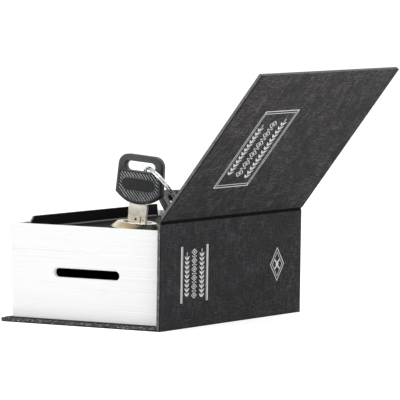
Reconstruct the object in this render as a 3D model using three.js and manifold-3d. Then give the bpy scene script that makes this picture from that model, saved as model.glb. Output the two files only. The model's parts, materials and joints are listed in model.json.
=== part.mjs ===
// A small book-shaped safe that lies flat with its cover open, in millimetres.
// +Z is up, +X is the spine side and -Y the end with the coin slot.
// The origin is the centre of the book's underside.
import * as THREE from "three";
import { mergeVertices } from "three/addons/utils/BufferGeometryUtils.js";
import Module from "manifold-3d";

const wasm = await Module();
wasm.setup();

const degree = Math.PI / 180;

// The book's case
const bookLength = 118;
const bookWidth = 76.5;
const bookThickness = 44.5;
const wrapThickness = 0.3;
const boardThickness = 1.3;
const liningThickness = 0.2;
const glueGap = 0.1;
const clothReach = 2.5;
const liningMargin = 1.2;
const mitreGap = 0.4;
const coverAngle = 127;

// The moulded shell that looks like pages
const pageInsetEnd = 2.8;
const pageInsetFore = 1.9;
const pageGapSpine = 0.6;
const rimDrop = 1.5;
const pageWall = 2.4;
const pageFloor = 1.6;
const foreDraft = 1.3;
const endDraft = 0.6;

// The coin slot
const slotLength = 31.5;
const slotHeight = 4.3;
const slotCentreX = 1;
const slotCentreZ = 21.6;
const slotMargin = 0.5;

// The steel box
const steel = 1;
const boxFit = 0.3;
const lidPlate = 0.8;
const lidRecess = 7.1;
const lidSeat = 0.2;
const ledgeWidth = 6;
const catchLength = 24;
const catchThickness = 1.2;
const catchReach = 5.4;
const catchRise = 7;

// The rivets
const rivetRadius = 1.4;
const rivetPlay = 0.1;
const rivetHeadRadius = 2.5;
const rivetCrownRadius = 1.75;
const rivetHead = 0.8;
const rivetInset = 11.5;
const tailHeadRadius = 2.4;
const tailPocketPlay = 0.4;
const tailPocketDepth = 0.9;

// The lid's hinge
const lidAjar = 4.5;
const pinRadius = 0.7;
const pinPlay = 0.12;
const pinOverhang = 0.5;
const barrelRadius = 1.3;
const barrelToWall = 0.25;
const leafThickness = 0.6;
const leafWidth = 9;
const hingeInset = 3.5;
const knuckleCount = 7;
const knuckleGap = 0.3;
const turnedGap = 0.2;

// The lid
const lidEndPlay = 0.8;
const lidForePlay = 2.2;
const lipHeight = 5.1;
const lipTaperNear = 4.4;
const lipTaperFar = 1.6;

// The lock
const lockX = -7.3;
const lockY = -2.3;
const headRadius = 11;
const headTopRadius = 8.3;
const headHeight = 3;
const headEdge = 0.4;
const bodyRadius = 8;
const nutFlats = 20;
const nutHeight = 3;
const plugRadius = 6;
const plugPlay = 0.2;
const plugSink = 0.7;
const plugEnd = 1.1;
const tailSide = 5;
const camThickness = 1.5;
const camLength = 22.5;
const camHubRadius = 7;
const camTipRadius = 3.5;
const catchPlay = 0.5;
const washerThickness = 0.7;
const screwHeadRadius = 3.6;
const screwHeadHeight = 1.8;
const screwCrownRadius = 2.7;
const screwCrownHeight = 1.1;
const screwSlotWidth = 0.8;
const screwSlotDepth = 0.8;
const screwRadius = 1.6;
const screwPlay = 0.1;
const screwEndPlay = 0.6;
const waferCount = 4;
const firstWafer = 3.1;
const waferPitch = 3;
const waferThickness = 0.8;
const waferWidth = 10.4;
const waferDepth = 5.4;
const waferPlay = 0.2;

// The keys
const bladeThickness = 1.5;
const bladeWidth = 8;
const bladePlay = 0.3;
const bladePastWafer = 3.1;
const bladeTipRun = 1.5;
const bladeTipTaper = 2;
const keywayEndPlay = 1.3;
const bittingDepth = 0.9;
const bittingShallow = 0.45;
const bittingWidth = 0.8;
const bittingMouth = 2.2;
const shankTopWidth = 8.9;
const shankWidth = 8.6;
const shankLength = 8.3;
const tangWidth = 6;
const tangThickness = 1.4;
const tangLength = 5.5;
const tangPlay = 0.3;
const bowThickness = 3.4;
const bowHeight = 20.5;
const bowWidth = 22.2;
const bowTopWidth = 21.2;
const bowCornerRadius = 4.5;
const bowShoulder = 4.2;
const bowFoot = 4.8;
const bowFootSag = 0.3;
const bowHoleLength = 14.9;
const bowHoleHeight = 4;
const bowHoleMargin = 2.8;

// The split ring and where it hangs, in the frame of the lock
const ringRadius = 11.4;
const wireRadius = 0.42;
const ringPitch = 1.27;
const ringTurns = 1.9;
const stepsPerTurn = 24;
const wireSides = 6;
const ringInHole = new THREE.Vector3(2.86, 0, -0.2);
const ringDown = new THREE.Vector3(0.4125, 0.4753, -0.7771).normalize();
const ringFront = new THREE.Vector3(0.7596, -0.6503, 0.0055).normalize();
const spareOnRing = 8.4;
const spareYaw = 26.5;
const sparePitch = 1.2;
const spareLean = 52.7;
const wireInSpareAcross = -0.73;
const wireInSpareAlong = -0.48;

// Places worked out from the sizes above
const foreX = -bookWidth / 2;
const spineX = bookWidth / 2;
const nearY = -bookLength / 2;
const farY = bookLength / 2;
const boardFloor = wrapThickness + glueGap;
const slab = boardFloor + boardThickness + glueGap + liningThickness;
const spineInnerX = spineX - boardFloor - boardThickness;
const pageBase = slab + glueGap;
const rimZ = bookThickness - slab - rimDrop;
const pageForeX = foreX + pageInsetFore;
const pageSpineX = spineInnerX - pageGapSpine;
const pageEndY = farY - pageInsetEnd;
const cavityForeX = pageForeX + pageWall;
const cavitySpineX = pageSpineX - pageWall;
const cavityEndY = pageEndY - pageWall;
const cavityFloorZ = pageBase + pageFloor;
const boxForeX = cavityForeX + boxFit;
const boxSpineX = cavitySpineX - boxFit;
const boxEndY = cavityEndY - boxFit;
const boxBaseZ = cavityFloorZ + glueGap;
const boxFloorZ = boxBaseZ + steel;
const hingeLength = 2 * (boxEndY - steel - hingeInset);
const lidTopZ = rimZ - lidRecess;
const lidUnderZ = lidTopZ - lidPlate;
const boxTopZ = lidUnderZ - lidSeat;
const pivotX = boxSpineX - steel - barrelToWall - barrelRadius;
const pivotZ = lidTopZ - lidPlate / 2;
const lidForeX = boxForeX + steel + lidForePlay;
const lidEndY = cavityEndY - lidEndPlay;

// Heights in the lock, measured from the lid's top face
const plugTop = headHeight - plugSink;
const waferMiddles = [...Array(waferCount).keys()].map((n) => plugTop - firstWafer - n * waferPitch);
const bladeTip = waferMiddles[waferCount - 1] - bladePastWafer;
const keywayFloor = bladeTip - keywayEndPlay;
const plugFoot = keywayFloor - plugEnd;
const camTop = plugFoot - turnedGap;
const catchZ = lidTopZ + camTop + catchPlay;

// How far a cutting shape runs past the faces that it opens
const past = 1;

// Geometry helpers

function block(x0, x1, y0, y1, z0, z1) {
  const geometry = new THREE.BoxGeometry(x1 - x0, y1 - y0, z1 - z0);
  return geometry.translate((x0 + x1) / 2, (y0 + y1) / 2, (z0 + z1) / 2);
}

function rod(radius, z0, z1, sides = 32) {
  const geometry = new THREE.CylinderGeometry(radius, radius, z1 - z0, sides);
  return geometry.rotateX(Math.PI / 2).translate(0, 0, (z0 + z1) / 2);
}

// A closed outline drawn in X and Y and raised from z0 to z1
function raised(shape, z0, z1, curveSegments = 8) {
  const options = { depth: z1 - z0, bevelEnabled: false, curveSegments };
  return new THREE.ExtrudeGeometry(shape, options).translate(0, 0, z0);
}

// A closed outline drawn in X and Z and drawn out along Y between y0 and y1
function drawnOut(shape, y0, y1, curveSegments = 8) {
  const options = { depth: y1 - y0, bevelEnabled: false, curveSegments };
  return new THREE.ExtrudeGeometry(shape, options).rotateX(Math.PI / 2).translate(0, y1, 0);
}

// A closed outline drawn in radius and height and turned about Z
function turned(points, sides = 40) {
  const profile = points.map(([r, z]) => new THREE.Vector2(r, z));
  profile.push(profile[0].clone());
  return new THREE.LatheGeometry(profile, sides).rotateX(Math.PI / 2);
}

function outline(points) {
  return new THREE.Shape(points.map(([x, y]) => new THREE.Vector2(x, y)));
}

// A slot with round ends, drawn about its centre
function slotShape(length, height) {
  const r = height / 2;
  const straight = length / 2 - r;
  const shape = new THREE.Shape();
  shape.moveTo(-straight, -r);
  shape.lineTo(straight, -r);
  shape.absarc(straight, 0, r, -Math.PI / 2, Math.PI / 2, false);
  shape.lineTo(-straight, r);
  shape.absarc(-straight, 0, r, Math.PI / 2, 1.5 * Math.PI, false);
  return shape;
}

function solidOf(geometry) {
  const bare = geometry.clone();
  bare.deleteAttribute("normal");
  bare.deleteAttribute("uv");
  const merged = mergeVertices(bare, 1e-4);
  const mesh = new wasm.Mesh({
    numProp: 3,
    vertProperties: new Float32Array(merged.attributes.position.array),
    triVerts: new Uint32Array(merged.index.array),
  });
  return new wasm.Manifold(mesh);
}

function geometryOf(solid) {
  const mesh = solid.getMesh();
  const geometry = new THREE.BufferGeometry();
  geometry.setAttribute("position", new THREE.BufferAttribute(mesh.vertProperties, 3));
  geometry.setIndex(new THREE.BufferAttribute(mesh.triVerts, 1));
  geometry.computeVertexNormals();
  return geometry;
}

function joined(first, ...others) {
  return geometryOf(others.reduce((all, one) => all.add(solidOf(one)), solidOf(first)));
}

function cut(first, ...tools) {
  return geometryOf(tools.reduce((all, one) => all.subtract(solidOf(one)), solidOf(first)));
}

// Materials

const finishes = {
  paper: { color: 0x343234, roughness: 0.75, metalness: 0 },
  board: { color: 0x8a8880, roughness: 0.9, metalness: 0 },
  lining: { color: 0x222122, roughness: 0.8, metalness: 0 },
  cloth: { color: 0x262526, roughness: 0.85, metalness: 0 },
  pages: { color: 0xf4f2ec, roughness: 0.5, metalness: 0 },
  blackSteel: { color: 0x1b1b1c, roughness: 0.4, metalness: 0.3 },
  zinc: { color: 0xb5b5b0, roughness: 0.35, metalness: 1 },
  chrome: { color: 0xdedede, roughness: 0.1, metalness: 1 },
  brass: { color: 0xc2a255, roughness: 0.3, metalness: 1 },
  nickel: { color: 0xcfc6b2, roughness: 0.3, metalness: 1 },
  bowPlastic: { color: 0x4c4e50, roughness: 0.45, metalness: 0 },
};

function piece(name, geometry, finish) {
  const mesh = new THREE.Mesh(geometry, new THREE.MeshStandardMaterial(finishes[finish]));
  mesh.name = name;
  return mesh;
}

function group(...members) {
  const all = new THREE.Group();
  all.add(...members);
  return all;
}

// The case

function backPieces() {
  const inner = spineInnerX - mitreGap;
  const sheet = block(foreX, spineX - wrapThickness - glueGap, nearY, farY, 0, wrapThickness);
  const board = block(foreX, inner, nearY, farY, boardFloor, boardFloor + boardThickness);
  const liningZ = slab - liningThickness;
  const lining = block(
    foreX + liningMargin, inner, nearY + liningMargin, farY - liningMargin, liningZ, slab,
  );
  return [
    piece("back_wrap", sheet, "paper"),
    piece("back_board", board, "board"),
    piece("back_lining", lining, "lining"),
  ];
}

// The spine and the cover are mitred, so that the cover can close down to the spine.
function spinePieces() {
  const outerX = spineX - boardFloor;
  const top = bookThickness - mitreGap - boardFloor;
  const board = outline([
    [spineInnerX, boardFloor],
    [outerX, boardFloor],
    [outerX, top],
    [spineInnerX, top - boardThickness],
  ]);
  const wrapTop = bookThickness - clothReach;
  const wrap = block(spineX - wrapThickness, spineX, nearY, farY, 0, wrapTop);
  return [
    piece("spine_board", drawnOut(board, nearY, farY), "board"),
    piece("spine_wrap", wrap, "paper"),
  ];
}

// The cover is drawn closed, from the hinge line at the origin out to -X, and then turned open.
function coverPieces() {
  const boardTop = -boardFloor;
  const boardUnder = boardTop - boardThickness;
  const board = outline([
    [-bookWidth, boardTop],
    [-bookWidth, boardUnder],
    [boardUnder - mitreGap, boardUnder],
    [boardTop - mitreGap, boardTop],
  ]);
  const lining = block(
    -bookWidth + liningMargin, -slab - mitreGap,
    nearY + liningMargin, farY - liningMargin, -slab, boardUnder - glueGap,
  );
  const wrap = block(-bookWidth, -clothReach, nearY, farY, -wrapThickness, 0);
  const cover = group(
    piece("front_board", drawnOut(board, nearY, farY), "board"),
    piece("front_lining", lining, "lining"),
    piece("front_wrap", wrap, "paper"),
  );
  cover.position.set(spineX, 0, bookThickness);
  cover.rotation.y = coverAngle * degree;
  return cover;
}

// The cloth bends at the hinge line: one leg lies on the spine, the other on the open cover.
function jointCloth() {
  const reach = clothReach - glueGap;
  const along = [-Math.cos(coverAngle * degree), Math.sin(coverAngle * degree)];
  const outward = [along[1], -along[0]];
  const bend = wrapThickness * (1 - outward[0]) / -outward[1];
  const tip = [spineX + reach * along[0], bookThickness + reach * along[1]];
  const shape = outline([
    [spineX - wrapThickness, bookThickness - reach],
    [spineX, bookThickness - reach],
    [spineX, bookThickness],
    tip,
    [tip[0] - wrapThickness * outward[0], tip[1] - wrapThickness * outward[1]],
    [spineX - wrapThickness, bookThickness + bend],
  ]);
  return piece("joint_cloth", drawnOut(shape, nearY, farY), "cloth");
}

// The page block

// A block whose foot is drawn in at the fore-edge and at both ends, as a moulding is
function draftedBlock() {
  const geometry = block(pageForeX, pageSpineX, -pageEndY, pageEndY, pageBase, rimZ);
  const position = geometry.attributes.position;
  const middle = (pageForeX + pageSpineX) / 2;
  const half = (pageBase + rimZ) / 2;
  for (let i = 0; i < position.count; i += 1) {
    if (position.getZ(i) > half) continue;
    if (position.getX(i) < middle) position.setX(i, position.getX(i) + foreDraft);
    position.setY(i, position.getY(i) - Math.sign(position.getY(i)) * endDraft);
  }
  return geometry;
}

function slotCutter(grown, y0, y1) {
  const shape = slotShape(slotLength + 2 * grown, slotHeight + 2 * grown);
  return drawnOut(shape, y0, y1).translate(slotCentreX, 0, slotCentreZ);
}

const rivetPlaces = [boxForeX + rivetInset, boxSpineX - rivetInset].flatMap((x) =>
  [rivetInset - boxEndY, boxEndY - rivetInset].map((y) => [x, y]));
const tailPocketZ = pageBase + tailPocketDepth;

function pageBlock() {
  const cavity = block(
    cavityForeX, cavitySpineX, -cavityEndY, cavityEndY, cavityFloorZ, rimZ + past,
  );
  const holes = rivetPlaces.flatMap(([x, y]) => [
    rod(rivetRadius + rivetPlay, pageBase - past, cavityFloorZ + past).translate(x, y, 0),
    rod(tailHeadRadius + tailPocketPlay, pageBase - past, tailPocketZ).translate(x, y, 0),
  ]);
  const slot = slotCutter(0, -pageEndY - past, -cavityEndY + past);
  return piece("page_block", cut(draftedBlock(), cavity, slot, ...holes), "pages");
}

// The steel box

function cashBox() {
  const outer = block(boxForeX, boxSpineX, -boxEndY, boxEndY, boxBaseZ, boxTopZ);
  const innerFore = boxForeX + steel;
  const hollow = block(
    innerFore, boxSpineX - steel, -boxEndY + steel, boxEndY - steel, boxFloorZ, boxTopZ - steel,
  );
  const mouth = block(
    boxForeX + ledgeWidth, boxSpineX - steel, -boxEndY + steel, boxEndY - steel,
    boxTopZ - steel - past, boxTopZ + past,
  );
  const holes = rivetPlaces.map(([x, y]) =>
    rod(rivetRadius + rivetPlay, boxBaseZ - past, boxFloorZ + past).translate(x, y, 0));
  const slot = slotCutter(slotMargin, -boxEndY - past, -boxEndY + steel + past);
  return piece("cash_box", cut(outer, hollow, mouth, slot, ...holes), "blackSteel");
}

function boxRivets() {
  const headZ = boxFloorZ + glueGap;
  const tailZ = tailPocketZ - glueGap;
  const profile = [
    [0, pageBase + glueGap],
    [tailHeadRadius, pageBase + glueGap],
    [tailHeadRadius, tailZ],
    [rivetRadius, tailZ],
    [rivetRadius, headZ],
    [rivetHeadRadius, headZ],
    [rivetCrownRadius, headZ + rivetHead],
    [0, headZ + rivetHead],
  ];
  return rivetPlaces.map(([x, y], n) =>
    piece(`box_rivet_${n + 1}`, turned(profile, 20).translate(x, y, 0), "zinc"));
}

function catchPiece() {
  const wallX = boxForeX + steel + glueGap;
  const shape = outline([
    [wallX, catchZ],
    [wallX + catchReach, catchZ],
    [wallX + catchReach, catchZ + catchThickness],
    [wallX + catchThickness, catchZ + catchThickness],
    [wallX + catchThickness, catchZ + catchRise],
    [wallX, catchZ + catchRise],
  ]);
  const half = catchLength / 2;
  return piece("catch", drawnOut(shape, lockY - half, lockY + half), "blackSteel");
}

// The lid's hinge: knuckles alternate along the pin, the odd ones on the box.

const knuckleLength = hingeLength / knuckleCount;
const leafRivetYs = [-1, 0, 1].map((n) => n * knuckleLength * 2);

function knuckles(first, neck) {
  const pieces = [];
  for (let i = first; i < knuckleCount; i += 2) {
    const y0 = -hingeLength / 2 + i * knuckleLength + knuckleGap / 2;
    const y1 = y0 + knuckleLength - knuckleGap;
    const barrel = rod(barrelRadius, y0, y1, 24).rotateX(-Math.PI / 2);
    pieces.push(barrel.translate(pivotX, 0, pivotZ), neck(y0, y1));
  }
  return pieces;
}

function pinBore() {
  const bore = rod(pinRadius + pinPlay, -hingeLength, hingeLength, 24);
  return bore.rotateX(-Math.PI / 2).translate(pivotX, 0, pivotZ);
}

const boxLeafX = boxSpineX - steel - glueGap;

function hingeLeafBox() {
  const half = hingeLength / 2;
  const leafTop = pivotZ - barrelRadius - turnedGap;
  const plate = block(boxLeafX - leafThickness, boxLeafX, -half, half, leafTop - leafWidth, leafTop);
  const neck = (y0, y1) =>
    block(boxLeafX - leafThickness, boxLeafX, y0, y1, leafTop - leafThickness, pivotZ);
  const holes = leafRivetYs.map((y) => sideRod(rivetRadius + rivetPlay, y, leafTop));
  const whole = joined(plate, ...knuckles(0, neck));
  return piece("hinge_leaf_box", cut(whole, pinBore(), ...holes), "zinc");
}

// A rod along X through the box's leaf, where a rivet sits
function sideRod(radius, y, leafTop) {
  const across = rod(radius, boxLeafX - 4 * leafThickness, boxLeafX + leafThickness, 20);
  return across.rotateY(Math.PI / 2).translate(0, y, leafTop - leafWidth / 2);
}

function hingeRivetsBox() {
  const z = pivotZ - barrelRadius - turnedGap - leafWidth / 2;
  const seat = boxLeafX - leafThickness - glueGap;
  const profile = [
    [0, 0],
    [rivetRadius, 0],
    [rivetRadius, boxLeafX - seat],
    [rivetHeadRadius, boxLeafX - seat],
    [rivetCrownRadius, boxLeafX - seat + rivetHead],
    [0, boxLeafX - seat + rivetHead],
  ];
  return leafRivetYs.map((y, n) => {
    const rivet = turned(profile, 20).rotateY(-Math.PI / 2).translate(boxLeafX, y, z);
    return piece(`box_leaf_rivet_${n + 1}`, rivet, "zinc");
  });
}

function hingePin() {
  const half = hingeLength / 2 + pinOverhang;
  const pin = rod(pinRadius, -half, half, 24).rotateX(-Math.PI / 2);
  return piece("hinge_pin", pin.translate(pivotX, 0, pivotZ), "zinc");
}

const lidLeafTop = lidUnderZ - turnedGap;

function hingeLeafLid() {
  const half = hingeLength / 2;
  const leafEnd = pivotX - barrelRadius - turnedGap;
  const under = lidLeafTop - leafThickness;
  const plate = block(leafEnd - leafWidth, leafEnd, -half, half, under, lidLeafTop);
  const neck = (y0, y1) => block(leafEnd - leafThickness, pivotX, y0, y1, under, lidLeafTop);
  const holes = leafRivetYs.map((y) =>
    rod(rivetRadius + rivetPlay, under - past, lidLeafTop + past, 20)
      .translate(leafEnd - leafWidth / 2, y, 0));
  const whole = joined(plate, ...knuckles(1, neck));
  return piece("hinge_leaf_lid", cut(whole, pinBore(), ...holes), "zinc");
}

// Rivets through the lid and its leaf, with a low head on top
function hingeRivetsLid() {
  const x = pivotX - barrelRadius - turnedGap - leafWidth / 2;
  const under = lidLeafTop - leafThickness - turnedGap;
  const over = lidTopZ + turnedGap;
  const profile = [
    [0, under - rivetHead],
    [rivetCrownRadius, under - rivetHead],
    [rivetHeadRadius, under],
    [rivetRadius, under],
    [rivetRadius, over],
    [rivetHeadRadius, over],
    [rivetCrownRadius, over + rivetHead],
    [0, over + rivetHead],
  ];
  return leafRivetYs.map((y, n) =>
    piece(`lid_leaf_rivet_${n + 1}`, turned(profile, 20).translate(x, y, 0), "blackSteel"));
}

// The lid, drawn closed, with its lip standing up along the fore-edge

function lid() {
  const lidSpineX = pivotX - barrelRadius - turnedGap;
  const plate = block(lidForeX, lidSpineX, -lidEndY, lidEndY, lidUnderZ, lidTopZ);
  const lip = outline([
    [-lidEndY, lidUnderZ],
    [lidEndY, lidUnderZ],
    [lidEndY, lidTopZ],
    [lidEndY - lipTaperFar, lidTopZ + lipHeight],
    [-lidEndY + lipTaperNear, lidTopZ + lipHeight],
    [-lidEndY, lidTopZ],
  ]);
  const wall = drawnOut(lip, -lidPlate, 0).rotateZ(Math.PI / 2).translate(lidForeX, 0, 0);
  const lockHole = rod(bodyRadius + turnedGap, lidUnderZ - past, lidTopZ + past, 40);
  const rivetX = lidSpineX - leafWidth / 2;
  const holes = leafRivetYs.map((y) =>
    rod(rivetRadius + rivetPlay, lidUnderZ - past, lidTopZ + past, 20).translate(rivetX, y, 0));
  const whole = joined(plate, wall);
  return piece("lid", cut(whole, lockHole.translate(lockX, lockY, 0), ...holes), "blackSteel");
}

// The lock, drawn about its own axis with the lid's top face at height 0

function lockBody() {
  const seat = turnedGap;
  const bore = plugRadius + plugPlay;
  const profile = [
    [bore, plugFoot],
    [bodyRadius, plugFoot],
    [bodyRadius, seat],
    [headRadius, seat],
    [headRadius, seat + headEdge],
    [headTopRadius, headHeight],
    [bore, headHeight],
  ];
  return piece("lock_body", turned(profile), "chrome");
}

function lockNut() {
  const top = -lidPlate - turnedGap;
  const hexagon = new THREE.CylinderGeometry(
    nutFlats / Math.sqrt(3), nutFlats / Math.sqrt(3), nutHeight, 6,
  );
  hexagon.rotateX(Math.PI / 2).translate(0, 0, top - nutHeight / 2);
  const bore = rod(bodyRadius + turnedGap, top - nutHeight - past, top + past, 40);
  return piece("lock_nut", cut(hexagon, bore), "zinc");
}

const keywayWidth = shankWidth + bladePlay;
const keywayThickness = bladeThickness + 2 * bladePlay;

function lockPlug() {
  const barrel = rod(plugRadius, plugFoot, plugTop, 40);
  const tailEnd = camTop - camThickness + glueGap;
  const half = tailSide / 2;
  const tail = block(-half, half, -half, half, tailEnd, plugFoot + past);
  const keyway = block(
    -keywayWidth / 2, keywayWidth / 2, -keywayThickness / 2, keywayThickness / 2,
    keywayFloor, plugTop + past,
  );
  const slots = waferMiddles.map((middle) => waferBlock(middle, waferPlay));
  const thread = rod(screwRadius + screwPlay, tailEnd - past, plugFoot + screwEndPlay, 20);
  return piece("lock_plug", cut(joined(barrel, tail), keyway, thread, ...slots), "chrome");
}

// A wafer's plate, grown all round by the play of its slot where it cuts one
function waferBlock(middle, grown) {
  const w = waferWidth / 2 + grown;
  const d = waferDepth / 2 + grown;
  const h = waferThickness / 2 + grown;
  return block(-w, w, -d, d, middle - h, middle + h);
}

function lockWafers() {
  return waferMiddles.map((middle, n) => {
    const window = block(
      -keywayWidth / 2, keywayWidth / 2, -keywayThickness / 2, keywayThickness / 2,
      middle - waferThickness, middle + waferThickness,
    );
    return piece(`wafer_${n + 1}`, cut(waferBlock(middle, 0), window), "brass");
  });
}

// At rest the cam points along +Y, clear of the catch. A quarter turn brings it to the catch.
function cam() {
  const shape = new THREE.Shape();
  const straight = camLength - camTipRadius;
  shape.absarc(0, 0, camHubRadius, Math.PI, 2 * Math.PI, false);
  shape.lineTo(camTipRadius, camHubRadius);
  shape.absarc(0, straight, camTipRadius, 0, Math.PI, false);
  shape.lineTo(-camTipRadius, camHubRadius);
  const half = tailSide / 2 + turnedGap;
  const square = new THREE.Path([
    new THREE.Vector2(-half, -half),
    new THREE.Vector2(-half, half),
    new THREE.Vector2(half, half),
    new THREE.Vector2(half, -half),
  ]);
  shape.holes.push(square);
  return piece("cam", raised(shape, camTop - camThickness, camTop), "zinc");
}

const washerTop = camTop - camThickness - turnedGap;

function camWasher() {
  const foot = washerTop - washerThickness;
  const inner = screwRadius + turnedGap;
  const outer = tailSide;
  const profile = [[inner, foot], [outer, foot], [outer, washerTop], [inner, washerTop]];
  return piece("cam_washer", turned(profile, 28), "zinc");
}

function camScrew() {
  const seat = washerTop - washerThickness - turnedGap;
  const profile = [
    [0, seat - screwHeadHeight],
    [screwCrownRadius, seat - screwHeadHeight],
    [screwHeadRadius, seat - screwHeadHeight + screwCrownHeight],
    [screwHeadRadius, seat],
    [screwRadius, seat],
    [screwRadius, plugFoot],
    [0, plugFoot],
  ];
  const foot = seat - screwHeadHeight;
  const slot = block(
    -screwHeadRadius, screwHeadRadius, -screwSlotWidth / 2, screwSlotWidth / 2,
    foot - past, foot + screwSlotDepth,
  );
  return piece("cam_screw", cut(turned(profile, 28), slot), "zinc");
}

// A key, drawn upright in X and Z with its shoulder just above the plug's face

const shoulderZ = plugTop + turnedGap;
const bowFootZ = shoulderZ + shankLength;
const bowHoleZ = bowFootZ + bowHeight - bowHoleMargin - bowHoleHeight / 2;

// A cut beside each wafer, deep and shallow by turns
function bittedEdge(side) {
  const edge = bladeWidth / 2;
  return waferMiddles.flatMap((z, n) => {
    const floor = edge - (n % 2 ? bittingShallow : bittingDepth);
    return [
      [side * edge, z + bittingMouth / 2],
      [side * floor, z + bittingWidth / 2],
      [side * floor, z - bittingWidth / 2],
      [side * edge, z - bittingMouth / 2],
    ];
  });
}

function keyBlade(name) {
  const half = bladeWidth / 2;
  const gapZ = bowFootZ - tangPlay;
  const shape = outline([
    [-shankTopWidth / 2, gapZ],
    [-shankWidth / 2, shoulderZ],
    [-half, shoulderZ],
    ...bittedEdge(-1),
    [-half, bladeTip + bladeTipRun],
    [-half + bladeTipTaper, bladeTip],
    [half - bladeTipTaper, bladeTip],
    [half, bladeTip + bladeTipRun],
    ...bittedEdge(1).reverse(),
    [half, shoulderZ],
    [shankWidth / 2, shoulderZ],
    [shankTopWidth / 2, gapZ],
  ]);
  const blade = drawnOut(shape, -bladeThickness / 2, bladeThickness / 2);
  const tang = block(
    -tangWidth / 2, tangWidth / 2, -tangThickness / 2, tangThickness / 2,
    gapZ - past, bowFootZ + tangLength,
  );
  return piece(name, joined(blade, tang), "nickel");
}

function bowShape() {
  const r = bowCornerRadius;
  const half = bowWidth / 2;
  const topHalf = bowTopWidth / 2;
  const shape = new THREE.Shape();
  shape.moveTo(-bowFoot, bowFootSag);
  shape.quadraticCurveTo(0, -bowFootSag, bowFoot, bowFootSag);
  shape.lineTo(half, bowShoulder);
  shape.lineTo(topHalf, bowHeight - r);
  shape.absarc(topHalf - r, bowHeight - r, r, 0, Math.PI / 2, false);
  shape.lineTo(r - topHalf, bowHeight);
  shape.absarc(r - topHalf, bowHeight - r, r, Math.PI / 2, Math.PI, false);
  shape.lineTo(-half, bowShoulder);
  return shape;
}

function keyBow(name) {
  const half = bowThickness / 2;
  const body = drawnOut(bowShape(), -half, half).translate(0, 0, bowFootZ);
  const holeShape = slotShape(bowHoleLength, bowHoleHeight);
  const hole = drawnOut(holeShape, -half - past, half + past).translate(0, 0, bowHoleZ);
  const pocket = block(
    -tangWidth / 2 - tangPlay, tangWidth / 2 + tangPlay,
    -tangThickness / 2 - tangPlay, tangThickness / 2 + tangPlay,
    bowFootZ - past, bowFootZ + tangLength + tangPlay,
  );
  return piece(name, cut(body, hole, pocket), "bowPlastic");
}

// The split ring is one wire wound about twice, with its turns side by side.

class RingWire extends THREE.Curve {
  getPoint(t, target = new THREE.Vector3()) {
    const turn = (t - 0.5) * ringTurns * 2 * Math.PI;
    const along = (t - 0.5) * ringTurns * ringPitch;
    return target.set(ringRadius * Math.cos(turn), ringRadius * Math.sin(turn), along);
  }
}

// The least distance between two stretches of the wire that are a half turn or more apart
function leastWireGap() {
  const points = new RingWire().getPoints(ringTurns * stepsPerTurn * 4);
  const apart = stepsPerTurn * 2;
  let least = Infinity;
  for (let i = 0; i + apart < points.length; i += 1) {
    for (let j = i + apart; j < points.length; j += 1) {
      least = Math.min(least, points[i].distanceTo(points[j]));
    }
  }
  return least - 2 * wireRadius;
}

const ringCentre = ringInHole.clone();
ringCentre.z += bowHoleZ;
ringCentre.addScaledVector(ringDown, ringRadius);

function pointOnRing(angle) {
  return ringCentre.clone()
    .addScaledVector(ringDown, ringRadius * Math.cos(angle * degree))
    .addScaledVector(ringFront, ringRadius * Math.sin(angle * degree));
}

function splitRing() {
  const section = new THREE.Shape();
  section.absarc(0, 0, wireRadius, 0, 2 * Math.PI, false);
  const options = {
    steps: Math.round(ringTurns * stepsPerTurn),
    curveSegments: wireSides,
    extrudePath: new RingWire(),
    bevelEnabled: false,
  };
  const ring = piece("split_ring", new THREE.ExtrudeGeometry(section, options), "zinc");
  const axis = ringDown.clone().cross(ringFront);
  const turn = new THREE.Matrix4().makeBasis(ringDown, ringFront, axis);
  ring.quaternion.setFromRotationMatrix(turn);
  ring.position.copy(ringCentre);
  return ring;
}

// The spare key hangs on the ring by its bow. It leans to the fore-edge, with a corner of its
// bow just above the lid, and its blade points to the back.
function spareKey() {
  const fromHole = group(keyBlade("spare_key_blade"), keyBow("spare_key_bow"));
  fromHole.position.z = -bowHoleZ;
  const spare = group(fromHole);
  const yaw = spareYaw * degree;
  const toTop = new THREE.Vector3(-Math.sin(yaw), -Math.cos(yaw), Math.tan(sparePitch * degree));
  toTop.normalize();
  const level = new THREE.Vector3(Math.cos(yaw), -Math.sin(yaw), 0);
  const width = toTop.clone().cross(level).applyAxisAngle(toTop, spareLean * degree);
  const across = toTop.clone().cross(width);
  spare.quaternion.setFromRotationMatrix(new THREE.Matrix4().makeBasis(width, across, toTop));
  spare.position.copy(pointOnRing(spareOnRing));
  spare.position.addScaledVector(width, -wireInSpareAcross);
  spare.position.addScaledVector(toTop, -wireInSpareAlong);
  return spare;
}

function lockAndKeys() {
  const all = group(
    lockBody(),
    lockNut(),
    lockPlug(),
    ...lockWafers(),
    cam(),
    camWasher(),
    camScrew(),
    keyBlade("key_blade"),
    keyBow("key_bow"),
    splitRing(),
    spareKey(),
  );
  all.position.set(lockX, lockY, lidTopZ);
  return all;
}

// The lid swings about the pin and stands slightly ajar.
function lidAssembly() {
  const closed = group(lid(), hingeLeafLid(), ...hingeRivetsLid(), lockAndKeys());
  closed.position.set(-pivotX, 0, -pivotZ);
  const swung = group(closed);
  swung.position.set(pivotX, 0, pivotZ);
  swung.rotation.y = lidAjar * degree;
  return swung;
}

console.log("least gap between turns of the split ring, mm:", leastWireGap().toFixed(2));

const bookSafe = group(
  ...backPieces(),
  ...spinePieces(),
  coverPieces(),
  jointCloth(),
  pageBlock(),
  cashBox(),
  ...boxRivets(),
  catchPiece(),
  hingeLeafBox(),
  ...hingeRivetsBox(),
  hingePin(),
  lidAssembly(),
);

export default bookSafe;
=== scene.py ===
"""The looks of a small book-shaped safe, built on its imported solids. Lengths are written in millimetres."""

import json
import math
import random

import bmesh
import bpy
from mathutils import Matrix, Vector, noise


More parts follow.
